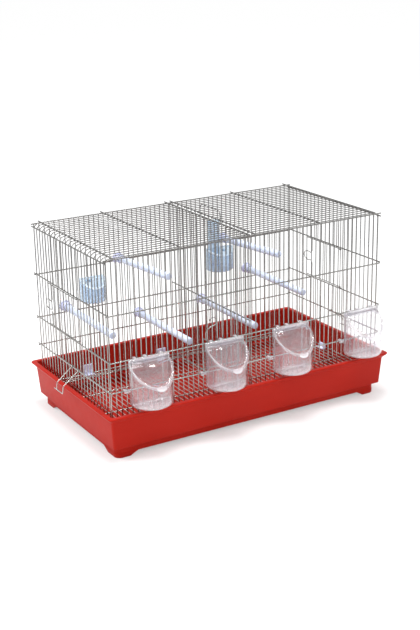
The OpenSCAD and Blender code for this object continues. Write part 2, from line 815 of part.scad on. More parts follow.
in_frame() tray();
in_frame() floor_grille();
in_frame() grille_clips();
in_frame() front_panel();
in_frame() back_panel();
in_frame() left_panel();
in_frame() right_panel();
in_frame() roof_left();
in_frame() roof_right();
in_frame() divider();
in_frame() side_door_left();
in_frame() side_door_right();
in_frame() feeder_shutter();
in_frame() bail_left();
in_frame() bail_right();
for (i = [0:len(feeder_x) - 1]) {
    in_frame() feeder_cup(feeder_x[i]);
    in_frame() feeder_lid(feeder_x[i]);
}
for (i = [0:len(perch_at) - 1]) {
    in_frame() perch_tube(perch_at[i]);
    in_frame() perch_collar(perch_at[i]);
}
in_frame() hopper_tank();
in_frame() hopper_trough();
in_frame() bath_cup();
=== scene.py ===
"""A two-compartment canary breeding cage: welded wire on a deep red tray, with clear feeders.

Everything is drawn in the cage's own millimetres, with the front towards -Y and the origin on the
floor, and is turned into the frame's metres in one place, placed().
"""

import math

import bpy
import numpy as np
from mathutils import Matrix, Vector


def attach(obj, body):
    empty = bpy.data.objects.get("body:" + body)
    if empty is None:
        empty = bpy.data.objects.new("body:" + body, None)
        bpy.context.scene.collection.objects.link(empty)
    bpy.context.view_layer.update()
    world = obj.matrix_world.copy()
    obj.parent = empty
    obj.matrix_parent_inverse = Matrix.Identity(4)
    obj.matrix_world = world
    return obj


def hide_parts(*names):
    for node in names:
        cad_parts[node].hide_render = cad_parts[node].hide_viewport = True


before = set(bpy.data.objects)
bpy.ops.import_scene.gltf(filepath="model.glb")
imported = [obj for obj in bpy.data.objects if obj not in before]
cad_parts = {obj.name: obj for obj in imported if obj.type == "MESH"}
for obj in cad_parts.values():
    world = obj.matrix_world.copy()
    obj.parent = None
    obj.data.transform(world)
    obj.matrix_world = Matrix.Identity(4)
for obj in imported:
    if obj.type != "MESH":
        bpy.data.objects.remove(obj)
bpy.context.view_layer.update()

# ---- Sizes in millimetres ----
FRAME_SHIFT = 15.8          # the cage's middle lies this far behind the middle of the outline
WIRE = 0.9                  # radius of the mesh wires
EYE_WIRE = 0.8              # radius of the wire in the hinge eyes of doors and bails
SEAT = 1.0                  # from a wire's axis to what rests on it
RAIL = 1.25                 # radius of the cross rails
FINE, COARSE = 12, 8        # corners of the section of rails and finger wires, and of the eyes
RAIL_OFF = 1.95             # a rail's axis from the axis of the wires it is welded to
PAST_RAIL = 1.2             # how far the wires of doors and shutter run past their rails
HALF_W = 280.0              # outer wires of the front
HALF_D = 146.5              # front and back wires
SIDE_X = 281.5              # side wires
ROOF_Z = 354.0              # roof wires
FOOT_Z = 38.0               # where the wire walls and the grille stand in the tray
TOP_RAIL_Z = 352.8          # the rail along the top of the front and the back
RAILS_Z = (257.0, 174.0, 120.0)     # their three cross rails
RAIL_LIFT = 2.8             # side rails pass above the front rails at the corners
FRONT_RAIL_HALF = 285.0     # half the length of the front and back rails
SIDE_RAIL_HALF = 151.5      # half the length of the side and roof rails
BOTTOM_RAIL_Z = 42.0        # the rail along the foot of each wall
GRILLE_Z = 41.3             # the grille's upper wires
BEND = 11.0                 # bend from roof to side
PITCH = 10.0                # from one front wire to the next
SIDE_WIRES = -143.5 + 287.0 / 23 * np.arange(24)    # places of the side and roof wires
SLOT_HALF = 5.0             # half the slot between the halves of the roof
# The x and z of the rails on the roof and its bend
ROOF_RAILS = np.array([(6.0, 355.95), (143.0, 355.95), (269.0, 355.95), (282.46, 347.96)])
DOOR_HINGE, DOOR_EDGE = 9, 17   # the side wires that the doors hang on and end at
FEEDERS_X = (-210.0, -60.0, 80.0, 240.0)
HATCH_HALF = 30.0           # half the width of the openings behind the feeders
PAINTED_LIGHT_TO = 300.0           # the height from which the wires are plain grey, with no painted light mixed in
PAINTED_LIGHT_AT_FOOT = 0.85       # share of painted light in the wires' colour at the floor, standing in for light bounced up from the tray, from 0 to 1
SHUTTER_X = FEEDERS_X[1]    # the shutter is behind the second feeder


# ---- Putting points and faces into the scene ----
BEVEL_FROM = 35.0           # edges that turn by more degrees than this are rounded


def placed(points):
    """Cage millimetres to frame metres: y is moved back by FRAME_SHIFT, then all is divided by 1000."""
    moved = np.array(points, float).reshape(-1, 3)
    moved[:, 1] += FRAME_SHIFT
    return moved / 1000.0


def put(name, data):
    """A new object in the scene for a mesh, lamp or camera."""
    thing = bpy.data.objects.new(name, data)
    bpy.context.scene.collection.objects.link(thing)
    return thing


class Mesh:
    """Points and faces gathered from several surfaces that make one piece."""

    def __init__(self):
        self.points, self.loops, self.sizes, self.thick, self.count = [], [], [], [], 0

    def add(self, points, faces, thick=0.0):
        """Adds points and a list of face arrays, each (number of faces, corners of each). `thick` is
        one value or one for each point: how much solid moulding the eye looks through there."""
        points = np.asarray(points, float).reshape(-1, 3)
        self.thick.append(np.broadcast_to(np.asarray(thick, float), len(points)))
        for array in faces:
            array = np.asarray(array, int)
            self.loops.append(array.ravel() + self.count)
            self.sizes.append(np.full(len(array), array.shape[1]))
        self.points.append(points)
        self.count += len(points)
        return self

    def piece(self, name, body, material, nodes, slot, smooth=True, sharp=40.0, bevel=0.0):
        """Makes the Blender object, rides it on its body and lets it stand for its CAD nodes."""
        mesh = bpy.data.meshes.new(name)
        points = placed(np.concatenate(self.points))
        loops, sizes = np.concatenate(self.loops), np.concatenate(self.sizes)
        mesh.vertices.add(len(points))
        mesh.vertices.foreach_set("co", points.ravel())
        mesh.loops.add(len(loops))
        mesh.loops.foreach_set("vertex_index", loops)
        mesh.polygons.add(len(sizes))
        mesh.polygons.foreach_set("loop_start", np.concatenate([[0], np.cumsum(sizes)[:-1]]))
        mesh.polygons.foreach_set("loop_total", sizes)
        mesh.polygons.foreach_set("use_smooth", np.full(len(sizes), smooth))
        mesh.update(calc_edges=True)
        thick = np.concatenate(self.thick)
        if thick.any():
            mesh.attributes.new("thick", "FLOAT", "POINT").data.foreach_set("value", thick)
        mesh.validate()
        if smooth:
            mesh.set_sharp_from_angle(angle=math.radians(sharp))
        mesh.materials.append(material)
        thing = put(name, mesh)
        if bevel:
            rounding = thing.modifiers.new("rounding", "BEVEL")
            rounding.width = bevel / 1000.0
            rounding.segments = 2
            rounding.limit_method = "ANGLE"
            rounding.angle_limit = math.radians(BEVEL_FROM)
        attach(thing, body)
        if nodes:
            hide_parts(*nodes)


def quads(rows, cols, close_rows=False, close_cols=True):
    """Faces of a grid of rows by cols points, row after row; closing joins the last to the first."""
    i = np.arange(rows if close_rows else rows - 1)[:, None]
    j = np.arange(cols if close_cols else cols - 1)[None, :]
    a, b = i * cols + j, i * cols + (j + 1) % cols
    c, d = ((i + 1) % rows) * cols + (j + 1) % cols, ((i + 1) % rows) * cols + j
    return np.stack([a, b, c, d], -1).reshape(-1, 4)


def unit(v):
    """Vectors of length 1 along the given ones, which lie along the last axis."""
    return v / np.linalg.norm(v, axis=-1, keepdims=True)


# ---- Wire ----
CUT_IN, CUT_SHARE = 0.35, 0.55          # shape of a wire's cut end, as shares of its radius
SLANTED = np.array([0.8, 0.35, 0.75])   # a direction that no free path runs along


def round_ends(paths, radius):
    """Open paths with a point added CUT_IN radii inside each end, and each point's share of the
    radius: the end rings are drawn in to CUT_SHARE, which rounds the cut ends."""
    first, last = unit(paths[:, 1] - paths[:, 0]), unit(paths[:, -1] - paths[:, -2])
    step = CUT_IN * radius
    paths = np.concatenate([paths[:, :1], paths[:, :1] + first[:, None] * step, paths[:, 1:-1],
                            paths[:, -1:] - last[:, None] * step, paths[:, -1:]], 1)
    share = np.ones(paths.shape[1])
    share[[0, -1]] = CUT_SHARE
    return paths, share


def swept(paths, normal, radius, sides=10, closed=False):
    """Round wire along paths that are flat across `normal`, or along any path where it is None.

    Each ring is p + r (cos t n + sin t (d x n)), where p is a point of the path, d its direction and
    n the normal, or else the part of SLANTED that lies across the path.
    """
    paths = np.asarray(paths, float)
    if paths.ndim == 2:
        paths = paths[None]
    if closed:
        share = np.ones(paths.shape[1])
        ahead, behind = np.roll(paths, -1, 1), np.roll(paths, 1, 1)
    else:
        paths, share = round_ends(paths, radius)
        ahead = np.concatenate([paths[:, 1:], paths[:, -1:]], 1)
        behind = np.concatenate([paths[:, :1], paths[:, :-1]], 1)
    direction = unit(ahead - behind)
    if normal is None:
        n = unit(SLANTED - (direction @ SLANTED)[..., None] * direction)
    else:
        n = np.broadcast_to(unit(np.asarray(normal, float)), direction.shape)
    across = np.cross(direction, n)
    t = 2 * np.pi * np.arange(sides) / sides
    ring = np.cos(t)[:, None] * n[:, :, None, :] + np.sin(t)[:, None] * across[:, :, None, :]
    points = paths[:, :, None, :] + radius * share[None, :, None, None] * ring
    wires, rings = points.shape[:2]
    start = (np.arange(wires) * rings * sides)[:, None, None]
    faces = [(quads(rings, sides, close_rows=closed) + start).reshape(-1, 4)]
    if not closed:
        cap = np.arange(sides)
        faces.append((cap[::-1] + start).reshape(-1, sides))
        faces.append((cap + (rings - 1) * sides + start).reshape(-1, sides))
    return points.reshape(-1, 3), faces


def straight(a, b, radius, sides=10):
    """Straight wires from a to b, for arrays of ends that stretch to one another's shape."""
    a, b = (np.atleast_2d(np.asarray(end, float)) for end in (a, b))
    a, b = np.broadcast_arrays(a, b)
    along = unit(b[0] - a[0])
    normal = np.cross(along, [0.0, 0.0, 1.0] if abs(along[2]) < 0.9 else [0.0, 1.0, 0.0])
    return swept(np.stack([a, b], 1), normal, radius, sides)


def corner_curves(corner, a, b, steps):
    """The curve (1 - s)^2 a + 2 s (1 - s) corner + s^2 b for each corner, one after another."""
    s = np.linspace(0, 1, steps)[None, :, None]
    curve = (1 - s) ** 2 * a[:, None] + 2 * s * (1 - s) * corner[:, None] + s ** 2 * b[:, None]
    return curve.reshape(-1, 3)


def rounded(path, radius, steps=6):
    """A path whose corners are eased by corner_curves between the points a radius before and after
    each corner, or less where the next corner is near."""
    path = np.asarray(path, float)
    corner, before, after = path[1:-1], path[:-2] - path[1:-1], path[2:] - path[1:-1]
    room = np.minimum(np.linalg.norm(before, axis=1), np.linalg.norm(after, axis=1))
    reach = np.minimum(radius, 0.45 * room)[:, None]
    curves = corner_curves(corner, corner + unit(before) * reach, corner + unit(after) * reach, steps)
    return np.concatenate([path[:1], curves, path[-1:]])


def arc(centre, radius, first, last, steps):
    """Points (centre + radius (cos a, sin a)) in a plane, from one angle to another in degrees."""
    a = np.radians(np.linspace(first, last, steps + 1))
    return centre + radius * np.stack([np.cos(a), np.sin(a)], 1)


def in_plane(flat, axis, value):
    """Two-column points put in the plane where the given axis (0 for X, 1 for Y) has that value."""
    return np.insert(np.asarray(flat, float), axis, value, axis=1)


def xyz(x, y, z):
    """Arrays or numbers for x, y and z stretched to one list of points."""
    x, y, z = (np.asarray(value, float) for value in (x, y, z))
    return np.stack(np.broadcast_arrays(x, y, z), -1).reshape(-1, 3)


# ---- Mouldings ----
def boxes(*pairs):
    """Plain blocks from (low corner, high corner) pairs, to be rounded by a bevel."""
    low, high = np.array([p[0] for p in pairs], float), np.array([p[1] for p in pairs], float)
    base = np.array([[0, 0, 0], [1, 0, 0], [1, 1, 0], [0, 1, 0]])
    corners = np.concatenate([base, base + [0, 0, 1]])
    points = low[:, None] + corners[None] * (high - low)[:, None]
    sides = np.array([[0, 3, 2, 1], [4, 5, 6, 7], [0, 1, 5, 4],
                      [1, 2, 6, 5], [2, 3, 7, 6], [3, 0, 4, 7]])
    first = len(corners) * np.arange(len(low))[:, None, None]
    return points.reshape(-1, 3), [(sides + first).reshape(-1, 4)]


def prism(outline, low, high, axis=0):
    """An outline in the plane across the X axis (0) or the Y axis (1), made solid from low to high
    along it. Faces point outwards across X if the outline runs anticlockwise as seen from +X."""
    n = len(outline)
    points = np.concatenate([in_plane(outline, axis, low), in_plane(outline, axis, high)])
    return points, [quads(2, n), np.arange(n)[::-1][None], (n + np.arange(n))[None]]


def turned(profile, centre, axis, cols=40):
    """A closed surface of revolution: (distance along the axis, radius) turned round it.

    The first and last points of the profile have radius 0 and become the poles' small end faces.
    """
    profile = np.asarray(profile, float)
    axis = unit(np.asarray(axis, float))
    u = unit(np.cross(axis, [0.0, 0.0, 1.0] if abs(axis[2]) < 0.9 else [1.0, 0.0, 0.0]))
    v = np.cross(axis, u)
    t = 2 * np.pi * np.arange(cols) / cols
    ring = np.cos(t)[:, None] * u + np.sin(t)[:, None] * v
    points = np.asarray(centre, float) + profile[:, None, :1] * axis + profile[:, None, 1:] * ring
    return capped(points)


def capped(points):
    """A grid of rings closed by a flat face at each end; rings run round the way that faces outwards."""
    rows, cols = points.shape[:2]
    end = np.arange(cols)
    faces = [quads(rows, cols), end[::-1][None], ((rows - 1) * cols + end)[None]]
    return points.reshape(-1, 3), faces


def round_rectangle(half_x, half_y, radius, arc_steps=8):
    """Outline of a rectangle with round corners: corner centre + radius (cos a, sin a), the four
    corners one after another."""
    a = np.radians(np.concatenate([90 * k + np.linspace(0, 90, arc_steps + 1) for k in range(4)]))
    centre = np.array([[1, 1], [-1, 1], [-1, -1], [1, -1]]) * [half_x - radius, half_y - radius]
    return np.repeat(centre, arc_steps + 1, 0) + radius * np.stack([np.cos(a), np.sin(a)], 1)


def d_ring(radius, straight_part, inset, corner=2.5, front_steps=40):
    """Outline of a D with its back on y = 0 and its bulge towards -y, drawn in by `inset`.

    The front is (r sin a, -s - r cos a) for a from 90 to -90 degrees seen from above, with
    r = radius - inset; the back corners are quarter circles.
    """
    r = radius - inset
    c = max(corner - inset, 0.15)
    front = arc((0, -straight_part), r, 0, -180, front_steps)
    left, right = arc((c - r, -inset - c), c, 180, 90, 4), arc((r - c, -inset - c), c, 90, 0, 4)
    return np.concatenate([right, front, left])[::-1]


def vessel(radius, straight_part, wall, fillet, levels, rim):
    """A D-shaped cup of even wall, closed all round.

    Rows go from the middle of the underside out and up the outside, over the rim and down the
    inside. Each level is (inset, height, share): the height of a point is
    height + share (rim(x, y) - height), so share 1 lies on the rim surface. An inset below 0 makes a
    ridge, but nothing stands out behind y = 0.
    """
    a = np.radians(np.linspace(0, 90, 5))
    outside = [(fillet - fillet * np.sin(q), fillet - fillet * np.cos(q), 0.0) for q in a]
    inner = fillet - wall
    inside = [(wall + inner - inner * np.sin(q), wall + inner - inner * np.cos(q), 0.0) for q in a[::-1]]
    rings = []
    for inset, height, share in outside + levels + inside:
        flat = d_ring(radius, straight_part, inset)
        z = height + share * (rim(flat[:, 0], flat[:, 1]) - height)
        rings.append(np.column_stack([flat[:, 0], np.minimum(flat[:, 1], 0.0), z]))
    return np.stack(rings)


# ---- Finishes ----
def add_nodes(tree, *kinds):
    """New shader nodes of the given kinds."""
    return [tree.nodes.new("ShaderNode" + kind) for kind in kinds]


def set_inputs(node, **values):
    """Sets a node's inputs, whose names are written with _ for each space."""
    for socket, value in values.items():
        node.inputs[socket.replace("_", " ")].default_value = value


def noise(made, scale, detail, stretch=(1, 1, 1)):
    """Noise over the piece's own coordinates, at `scale` per metre; returns its 0 to 1 output."""
    tree = made.node_tree
    place, mapping, texture = add_nodes(tree, "TexCoord", "Mapping", "TexNoise")
    set_inputs(mapping, Scale=stretch)
    set_inputs(texture, Scale=scale, Detail=detail)
    tree.links.new(place.outputs["Object"], mapping.inputs["Vector"])
    tree.links.new(mapping.outputs["Vector"], texture.inputs["Vector"])
    return texture.outputs["Fac"]


def ramp(made, source, stops):
    """Colours between stops of (position, (r, g, b)) along a 0 to 1 source."""
    node, = add_nodes(made.node_tree, "ValToRGB")
    elements = node.color_ramp.elements
    while len(elements) < len(stops):
        elements.new(0.5)
    for element, (position, colour) in zip(elements, stops):
        element.position, element.color = position, (*colour, 1)
    made.node_tree.links.new(source, node.inputs["Fac"])
    return node.outputs["Color"]


def spread(made, source, low, high):
    """A 0 to 1 source stretched to run from low to high."""
    node, = add_nodes(made.node_tree, "MapRange")
    set_inputs(node, To_Min=low, To_Max=high)
    made.node_tree.links.new(source, node.inputs["Value"])
    return node.outputs["Result"]


def bump(made, shader, source, depth_mm, strength):
    """Raises the surface by up to depth_mm millimetres along the source."""
    node, = add_nodes(made.node_tree, "Bump")
    set_inputs(node, Distance=depth_mm / 1000.0, Strength=strength)
    made.node_tree.links.new(source, node.inputs["Height"])
    made.node_tree.links.new(node.outputs["Normal"], shader.inputs["Normal"])


def finish(name, tint, gloss, skin, **fixed):
    """A material whose colour, roughness and bump each follow a noise of their own over the piece.

    A noise is (scale per metre, detail, stretch). `tint` is a noise and the stops of its ramp, or
    None, `gloss` a noise and the lowest and highest roughness, and `skin` a noise, its depth in
    millimetres and its strength. `fixed` holds the sockets that are the same all over.
    """
    made = bpy.data.materials.new(name)
    made.use_nodes = True
    shader, links = made.node_tree.nodes["Principled BSDF"], made.node_tree.links
    set_inputs(shader, **fixed)
    if tint:
        links.new(ramp(made, noise(made, *tint[0]), tint[1]), shader.inputs["Base Color"])
    links.new(spread(made, noise(made, *gloss[0]), *gloss[1:]), shader.inputs["Roughness"])
    bump(made, shader, noise(made, *skin[0]), *skin[1:])
    return made


def drawn_wire():
    """Zinc-plated drawn wire with darker patches and fine lines. Its colour has painted light mixed in:
    it goes evenly from a painted brightness at the foot of the cage, standing in for pale light
    bounced up from the tray, to plain grey at PAINTED_LIGHT_TO and above."""
    made = finish("plated_wire_painted_light", None, ((400, 3), 0.18, 0.32), ((1500, 2), 0.03, 0.4), Metallic=1.0)
    tree, links = made.node_tree, made.node_tree.links
    # Painted light: a share that falls evenly with height, from most at the cage's floor to none at the
    # set height
    place, split, height, painted_light_mix = add_nodes(tree, "TexCoord", "SeparateXYZ", "MapRange", "MixRGB")
    links.new(place.outputs["Object"], split.inputs["Vector"])
    links.new(split.outputs["Z"], height.inputs["Value"])
    set_inputs(height, From_Max=PAINTED_LIGHT_TO / 1000.0, To_Min=PAINTED_LIGHT_AT_FOOT, To_Max=0.0)
    patches = noise(made, 28, 4)
    grey = ramp(made, patches, [(0.30, (0.15, 0.146, 0.141)), (0.50, (0.19, 0.186, 0.180)),
                                (0.72, (0.25, 0.244, 0.236))])
    # Painted light: a brighter copy of the grey, standing in for light bounced up from the tray and
    # floor
    painted_light_tone = ramp(made, patches, [(0.30, (0.52, 0.50, 0.47)), (0.50, (0.62, 0.60, 0.565)),
                                  (0.72, (0.72, 0.70, 0.67))])
    links.new(height.outputs["Result"], painted_light_mix.inputs["Fac"])
    links.new(grey, painted_light_mix.inputs["Color1"])
    links.new(painted_light_tone, painted_light_mix.inputs["Color2"])
    links.new(painted_light_mix.outputs["Color"], tree.nodes["Principled BSDF"].inputs["Base Color"])
    return made


def see_through(made, thin, solid):
    """Lets light through the thin walls and less of it where the moulding is thick."""
    tree = made.node_tree
    thick, = add_nodes(tree, "Attribute")
    thick.attribute_name = "thick"
    light = spread(made, thick.outputs["Fac"], thin, solid)
    tree.links.new(light, tree.nodes["Principled BSDF"].inputs["Transmission Weight"])
    return made


# Deep red polypropylene with faint flow marks and a fine skin
RED = finish("red_moulding",
             ((9, 4, (1, 1, 2.5)), [(0.30, (0.370, 0.0100, 0.0037)), (0.55, (0.393, 0.0115, 0.0044)),
                                    (0.75, (0.415, 0.0130, 0.0054))]),
             ((60, 5), 0.38, 0.50), ((900, 2), 0.02, 0.5), Specular_IOR_Level=0.10)
METAL = drawn_wire()
POLISHED = {"IOR": 1.10, "Coat_Weight": 1.0, "Coat_IOR": 1.5}
# Clear polystyrene, a little milky and lilac, with flow lines and fine scratches in its polish
CLEAR = see_through(finish("clear_moulding",
                           ((35, 3), [(0.35, (0.965, 0.95, 0.985)), (0.65, (0.99, 0.98, 0.995))]),
                           ((160, 4, (1, 1, 0.3)), 0.08, 0.20), ((120, 3, (1, 1, 0.35)), 0.12, 0.5),
                           Coat_Roughness=0.07, **POLISHED), 0.985, 0.50)
# Pale bluish-white perch tubes, softly translucent
PERCH = finish("perch_moulding", ((45, 4), [(0.30, (0.57, 0.63, 0.80)), (0.70, (0.65, 0.71, 0.86))]),
               ((180, 3), 0.28, 0.44), ((700, 2), 0.03, 0.5), Subsurface_Weight=0.15,
               Subsurface_Radius=(0.004, 0.004, 0.005), Subsurface_Scale=0.6)
# The clips' violet-blue plastic
COLLAR = finish("collar_moulding", ((60, 4), [(0.30, (0.64, 0.67, 0.88)), (0.70, (0.73, 0.76, 0.93))]),
                ((200, 3), 0.34, 0.50), ((800, 2), 0.03, 0.5))
# Translucent pale blue of the hopper and the hanging cup
BLUE = see_through(finish("blue_moulding",
                          ((30, 3), [(0.30, (0.68, 0.81, 0.96)), (0.70, (0.78, 0.89, 0.98))]),
                          ((140, 3), 0.18, 0.30), ((150, 3, (1, 1, 0.4)), 0.08, 0.5),
                          Coat_Roughness=0.10, **POLISHED), 0.80, 0.40)


# ---- Tray ----
RIM_W, RIM_D, RIM_Z = 296.0, 170.0, 83.0    # half the rim's length and depth, and its height
FLANGE, LEAN, TRAY_WALL = 7.0, 4.5, 2.0     # how far the flange stands out and the walls lean in
STEP_Z, STEP_IN, BASE_Z = 21.0, 7.0, 7.5    # the set-in step above the base, and the base's underside
BASE_INSET = FLANGE + LEAN + STEP_IN


def eased(section, reach, steps=4):
    """A section of (inset, height, corner radius) whose inner corners are eased by corner_curves, each
    over its own reach, measured in inset and height."""
    section = np.asarray(section, float)
    reach = np.asarray(reach, float)[:, None]
    corner = section[1:-1]
    before, after = (unit((end - corner)[:, :2]) @ np.eye(2, 3) for end in (section[:-2], section[2:]))
    curves = corner_curves(corner, corner + before * reach, corner + after * reach, steps)
    return np.concatenate([section[:1], curves, section[-1:]])


def tray():
    """The tray's section of (inset, height, corner radius), from under the base out, up, over the rim
    and down the inside. Each of its points becomes a rectangle with round corners."""
    wall, inner_step, middle = FLANGE + LEAN, STEP_Z + TRAY_WALL, BASE_INSET + 14
    section = eased(
        [(middle, BASE_Z, 9), (BASE_INSET + 0.3, BASE_Z, 12), (BASE_INSET, STEP_Z, 12),
         (wall, STEP_Z, 5), (FLANGE + 0.5, RIM_Z - 10, 6), (0, RIM_Z - 2.4, 7), (0.3, RIM_Z, 7),
         (FLANGE + TRAY_WALL, RIM_Z, 4.5), (wall + TRAY_WALL - 0.2, inner_step, 4),
         (BASE_INSET + TRAY_WALL - 0.2, inner_step, 10),
         (BASE_INSET + TRAY_WALL, BASE_Z + TRAY_WALL, 10), (middle, BASE_Z + TRAY_WALL, 9)],
        [1.6, 1.2, 1.0, 2.5, 1.0, 1.1, 1.6, 3.0, 1.2, 1.8])
    rings = []
    for inset, z, radius in section:
        outline = round_rectangle(RIM_W - inset, RIM_D - inset, radius)
        rings.append(np.column_stack([outline, np.full(len(outline), z)]))
    return capped(np.stack(rings))


def tray_feet():
    """Four corner feet: a thick lip below the base, whose lower edge rises to the base at both ends."""
    half_x, half_y = RIM_W - BASE_INSET, RIM_D - BASE_INSET
    long_x, long_y, slant, thick, corner = 27.0, 34.0, 15.0, 9.0, 12.0
    top = BASE_Z + 1.0
    turn = arc((0, 0), 1, 180, 270, 8)
    ends_y = np.array([long_y + slant, long_y + slant / 2, long_y + 0.8, long_y - 1.5])
    ends_x = np.array([long_x - 1.5, long_x + 0.8, long_x + slant / 2, long_x + slant])
    share = np.array([0.0, 0.5, 0.97, 1.0])
    drop = np.concatenate([share, np.ones(len(turn)), share[::-1]])
    low = (BASE_Z + 0.6) * (1 - drop)
    rings = []
    for inset, up in [(0, 1), (0, 0.12), (0.8, 0), (thick - 0.8, 0), (thick, 0.12), (thick, 1)]:
        r = max(corner - inset, 2.0)
        bend = np.array([inset + r - half_x, inset + r - half_y]) + r * turn
        side = np.column_stack([np.full(len(share), inset - half_x), ends_y - half_y])
        front_edge = np.column_stack([ends_x - half_x, np.full(len(share), inset - half_y)])
        rings.append(np.column_stack([np.concatenate([side, bend, front_edge]), low + up * (top - low)]))
    foot = np.stack(rings, 1)          # along the foot by round its section
    mesh = Mesh()
    for sx in (1, -1):
        for sy in (1, -1):
            points, faces = capped(foot * [sx, sy, 1])
            mesh.add(points, faces if sx == sy else [f[:, ::-1] for f in faces])
    return mesh


def tray_ribs():
    """Upright ribs from the base and the ledge inside the walls; the wire body and the grille stand
    on them."""
    low, ledge = BASE_Z + TRAY_WALL - 0.5, STEP_Z + TRAY_WALL - 0.5
    base_x, base_y = RIM_W - BASE_INSET - 1, RIM_D - BASE_INSET - 1
    wall_x, wall_y = RIM_W - FLANGE - LEAN - 1, RIM_D - FLANGE - LEAN - 1
    inner_x, inner_y, half, apart = 270, 136, 1, 60
    ribs = []
    for s in (-1, 1):
        for x in apart * np.arange(-4, 5):
            for inner, outer, foot in ((inner_y, base_y, low), (base_y - 0.5, wall_y, ledge)):
                y = sorted((s * inner, s * outer))
                ribs.append(((x - half, y[0], foot), (x + half, y[1], FOOT_Z)))
        for y in SIDE_WIRES[[1, 6, 11, 17, 22]]:
            for inner, outer, foot in ((inner_x, base_x, low), (base_x - 0.5, wall_x, ledge)):
                x = sorted((s * inner, s * outer))
                ribs.append(((x[0], y - half, foot), (x[1], y + half, FOOT_Z)))
    return boxes(*ribs)


Mesh().add(*tray()).piece("tray_shell", "cage", RED, ["tray"], "red_plastic", sharp=50)
tray_feet().piece("tray_feet", "cage", RED, [], "red_plastic", sharp=50)
Mesh().add(*tray_ribs()).piece("tray_ribs", "cage", RED, [], "red_plastic", bevel=0.3)


# ---- Wire walls ----
def along_x(mesh, half, y, z):
    """Rails from x = -half to x = half at each y and z."""
    mesh.add(*straight(xyz(-half, y, z), xyz(half, y, z), RAIL, FINE))


def along_y(mesh, half, x, z, radius=RAIL, sides=FINE):
    """Rails, or thinner wires, from y = -half to y = half at each x and z."""
    mesh.add(*straight(xyz(x, -half, z), xyz(x, half, z), radius, sides))


def wall_rails(mesh, y, inner):
    """The top rail and the three cross rails of the front or back, and the rail along its foot."""
    along_x(mesh, FRONT_RAIL_HALF, y - inner * RAIL_OFF, (TOP_RAIL_Z,) + RAILS_Z)
    along_x(mesh, HALF_W, y + inner * RAIL_OFF, BOTTOM_RAIL_Z)


def uprights(mesh, x, y, low, high):
    """Upright wires at each x and y, from low to high."""
    mesh.add(*straight(xyz(x, y, low), xyz(x, y, high), WIRE))


wall_x = np.arange(-HALF_W, HALF_W + 1, PITCH)
cut = np.any(np.abs(wall_x[:, None] - FEEDERS_X) < HATCH_HALF, axis=1)
wall_top = TOP_RAIL_Z + 0.6

front = Mesh()
uprights(front, wall_x[~cut], -HALF_D, FOOT_Z, wall_top)
uprights(front, wall_x[cut], -HALF_D, FOOT_Z, RAILS_Z[2] + RAIL)
uprights(front, wall_x[cut], -HALF_D, RAILS_Z[1] - RAIL, wall_top)
wall_rails(front, -HALF_D, 1)
front.piece("front_wall_wires", "cage", METAL, ["front_panel"], "zinc_wire")

back = Mesh()
uprights(back, wall_x, HALF_D, FOOT_Z, wall_top)
wall_rails(back, HALF_D, -1)
back.piece("back_wall_wires", "cage", METAL, ["back_panel"], "zinc_wire")


def shell_half(side):
    """A side wall and its half of the roof, which are one sheet of mesh bent at the top.

    Each wire runs up the side, round a quarter circle of radius BEND and across the roof.
    """
    curve = arc((SIDE_X - BEND, ROOF_Z - BEND), BEND, 0, 90, 8)
    over_door, under_door = RAILS_Z[0] + RAIL_LIFT - RAIL, RAILS_Z[1] + RAIL_LIFT + RAIL
    whole, upper = (np.concatenate([[[SIDE_X, foot]], curve, [[SLOT_HALF, ROOF_Z]]])
                    for foot in (FOOT_Z, over_door))
    lower = [[SIDE_X, FOOT_Z], [SIDE_X, under_door]]
    at_door = slice(DOOR_HINGE + 1, DOOR_EDGE + 1)
    mesh = Mesh()
    flip = np.array([side, 1, 1])

    def wires(path, ys):
        """One wire along the path at each y."""
        lines = np.stack([in_plane(path, 1, 0.0)] * len(ys))
        lines[:, :, 1] = ys[:, None]
        mesh.add(*swept(lines * flip, (0, 1, 0), WIRE))

    wires(whole, np.delete(SIDE_WIRES, at_door))
    wires(upper, SIDE_WIRES[at_door])
    wires(lower, SIDE_WIRES[at_door])
    along_y(mesh, SIDE_RAIL_HALF, side * (SIDE_X + RAIL_OFF), np.array(RAILS_Z) + RAIL_LIFT)
    along_y(mesh, SIDE_WIRES[-1], side * (SIDE_X - RAIL_OFF), BOTTOM_RAIL_Z)
    along_y(mesh, SIDE_RAIL_HALF, side * ROOF_RAILS[:, 0], ROOF_RAILS[:, 1])
    return mesh


for side, hand in ((1, "right"), (-1, "left")):
    shell_half(side).piece(f"{hand}_wall_and_roof_wires", "cage", METAL,
                           [f"{hand}_panel", f"roof_{hand}"], "zinc_wire")

grille = Mesh()
along_y(grille, 141, np.arange(-270, 271, PITCH), GRILLE_Z, WIRE, 10)
along_x(grille, 276, [-138, -46, 46, 131, 138], GRILLE_Z - RAIL_OFF)
grille.piece("floor_grille_wires", "cage", METAL, ["floor_grille"], "zinc_wire")


# ---- Divider ----
divider, divider_half, divider_top = Mesh(), 141, ROOF_Z + 0.5
uprights(divider, 0, np.linspace(-divider_half, divider_half, 23), GRILLE_Z + 2, divider_top)
along_y(divider, divider_half + 1, RAIL_OFF, [GRILLE_Z + 4, 195, divider_top - 2])
grip_low, grip_high, grip_front, grip_back = divider_top - 4, divider_top + 21, -43.5, 28.5
grip = [(grip_front, grip_low), (grip_front, grip_high), (grip_back, grip_high), (grip_back, grip_low)]
divider.add(*swept(rounded(in_plane(grip, 0, RAIL_OFF), 14, 10), (1, 0, 0), WIRE, FINE))
divider.piece("divider_wires", "divider", METAL, ["divider"], "zinc_wire")


